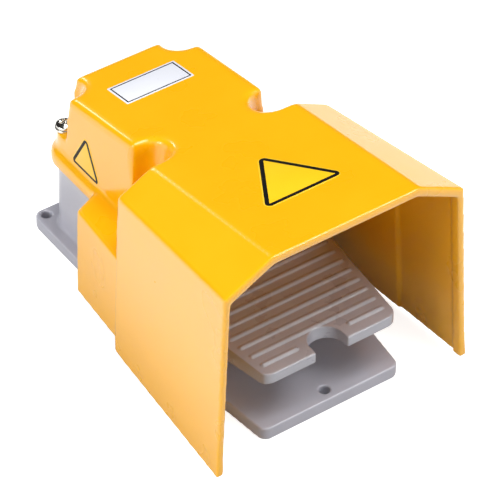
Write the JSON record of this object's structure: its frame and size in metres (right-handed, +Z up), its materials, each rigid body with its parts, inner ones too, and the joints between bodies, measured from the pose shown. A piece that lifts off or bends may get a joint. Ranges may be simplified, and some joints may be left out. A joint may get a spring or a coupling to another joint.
{
  "type": "industrial foot switch",
  "caption": "Guarded industrial foot switch: yellow die-cast full guard over a ribbed hinged pedal, grey cast base with mounting holes, and a rear switch box with a cable gland.",
  "frame": {"origin": "centre of the bounding box in plan, on the floor plane under the base plate", "axes": "+X to the right across the pedal as seen by the user's foot, +Y from the open guard mouth to the cable gland, +Z up"},
  "size_m": [0.1578, 0.235, 0.136],
  "materials": {
    "cast_grey": "die-cast, fine satin orange peel",
    "yellow_coat": "glossy powder coat on cast aluminium",
    "black_rubber": "matte moulded rubber",
    "bright_steel": "bright nickel plated steel",
    "spring_steel": "drawn spring steel",
    "plated_steel": "zinc plated steel",
    "bronze": "sintered bronze",
    "brass": "stamped brass",
    "phenolic": "moulded brown phenolic",
    "black_plastic": "moulded black nylon",
    "white_plastic": "moulded white acetal"
  },
  "bodies": {
    "root": {"base_casting": "cast_grey", "guard_cover": "yellow_coat", "cover_gasket": "black_rubber", "cover_screws": "bright_steel", "cover_washers": "bright_steel", "left_bush": "bronze", "right_bush": "bronze", "return_spring": "spring_steel", "stop_buffers": "black_rubber", "rest_buffer": "black_rubber", "switch_bracket": "plated_steel", "bracket_screws": "bright_steel", "switch_fixing_screws": "bright_steel", "switch_fixing_nuts": "bright_steel", "left_switch_case": "phenolic", "right_switch_case": "phenolic", "left_switch_cover": "black_plastic", "right_switch_cover": "black_plastic", "left_lever_pin": "bright_steel", "right_lever_pin": "bright_steel", "left_terminals": "brass", "right_terminals": "brass", "terminal_screws": "bright_steel", "earth_screw": "bright_steel", "earth_washer": "brass", "gland_washer": "black_rubber", "gland_body": "black_plastic", "gland_seal": "black_rubber", "gland_nut": "black_plastic"},
    "pedal_assembly": {"pedal": "cast_grey", "pivot_shaft": "bright_steel", "shaft_clips": "bright_steel", "hub_set_screws": "bright_steel", "striker": "plated_steel", "striker_set_screws": "bright_steel", "adjusting_screws": "bright_steel", "lock_nuts": "bright_steel"},
    "left_lever": {"left_switch_lever": "spring_steel"},
    "right_lever": {"right_switch_lever": "spring_steel"},
    "left_plunger": {"left_switch_plunger": "white_plastic"},
    "right_plunger": {"right_switch_plunger": "white_plastic"}
  },
  "joints": [
    {"name": "pedal_hinge", "type": "hinge", "parent": "root", "child": "pedal_assembly", "pos_m": [0, 0.0215, 0.03], "axis": [1, 0, 0], "range_deg": [0, 8], "stiffness_Nm_per_rad": 12, "springref_deg": -7.45, "deforming": ["return_spring"]},
    {"name": "left_lever_hinge", "type": "hinge", "parent": "root", "child": "left_lever", "pos_m": [-0.01025, 0.0745, 0.0502], "axis": [1, 0, 0], "range_deg": [-8.97, 0]},
    {"name": "right_lever_hinge", "type": "hinge", "parent": "root", "child": "right_lever", "pos_m": [0.01025, 0.0745, 0.0502], "axis": [1, 0, 0], "range_deg": [-8.97, 0]},
    {"name": "left_plunger_slide", "type": "slide", "parent": "root", "child": "left_plunger", "axis": [0, 0, 1], "range_m": [0, 0.00126]},
    {"name": "right_plunger_slide", "type": "slide", "parent": "root", "child": "right_plunger", "axis": [0, 0, 1], "range_m": [0, 0.00126]}
  ],
  "couplings": [
    {"joint": "left_lever_hinge", "follows": "pedal_hinge", "ratio": -1.12},
    {"joint": "right_lever_hinge", "follows": "pedal_hinge", "ratio": -1.12},
    {"joint": "left_plunger_slide", "follows": "pedal_hinge", "m_per_rad": 0.00896},
    {"joint": "right_plunger_slide", "follows": "pedal_hinge", "m_per_rad": 0.00896}
  ]
}
